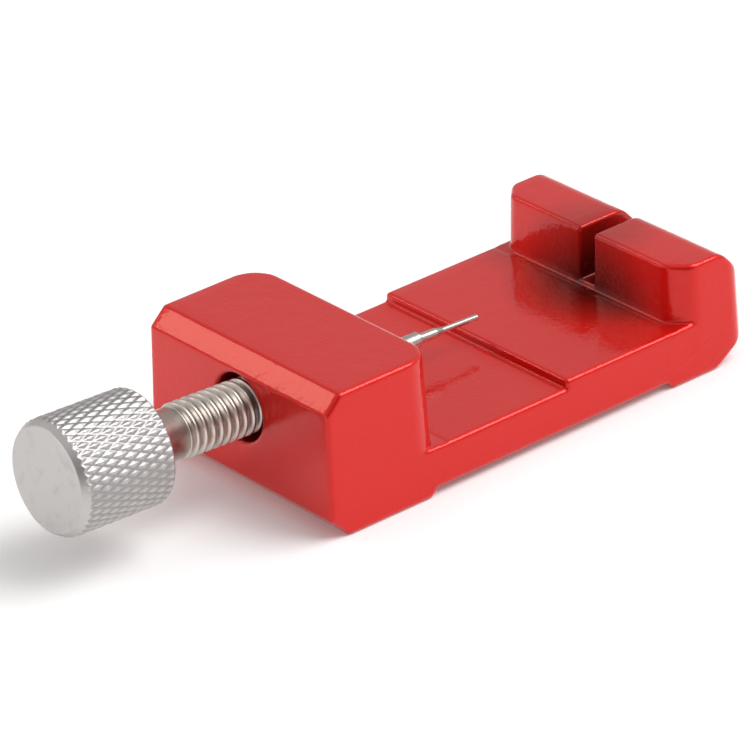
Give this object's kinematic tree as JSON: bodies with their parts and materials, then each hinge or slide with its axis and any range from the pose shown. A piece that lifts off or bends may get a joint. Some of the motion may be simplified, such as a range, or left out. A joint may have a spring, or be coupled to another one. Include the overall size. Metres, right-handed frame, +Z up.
{
  "type": "watch bracelet pin remover",
  "caption": "Hand-held screw press that pushes link pins out of a watch bracelet: cast block frame with a slotted anvil, knurled thumb screw and a slim punch.",
  "frame": {"origin": "centre of the foot under the head that carries the screw, on the plane the tool stands on", "axes": "+X along the tool from the head to the anvil, +Z up from the feet, Y across the tool, so the screw lies in the XZ plane"},
  "size_m": [0.0798, 0.0286, 0.0166],
  "materials": {
    "frame_paint": "glossy red paint",
    "screw_steel": "rolled thread, lightly oiled",
    "knob_aluminium": "diamond knurl, satin",
    "punch_nickel": "bright turned",
    "punch_steel": "ground bright"
  },
  "bodies": {
    "frame": {"frame_block": "frame_paint"},
    "punch": {"punch_holder": "punch_nickel", "punch_pin": "punch_steel"},
    "screw": {"thumb_screw": "screw_steel", "knurled_knob": "knob_aluminium"}
  },
  "joints": [
    {"name": "punch_feed", "type": "slide", "parent": "frame", "child": "punch", "axis": [0.999, 0, -0.0436], "range_m": [-0.00901, 0.01201]},
    {"name": "screw_turn", "type": "hinge", "parent": "punch", "child": "screw", "pos_m": [-0.0075, 0, 0.00955], "axis": [0.999, 0, -0.0436], "range_deg": [-3240, 4320]}
  ],
  "couplings": [
    {"joint": "punch_feed", "follows": "screw_turn", "m_per_rad": 0.00015915}
  ]
}
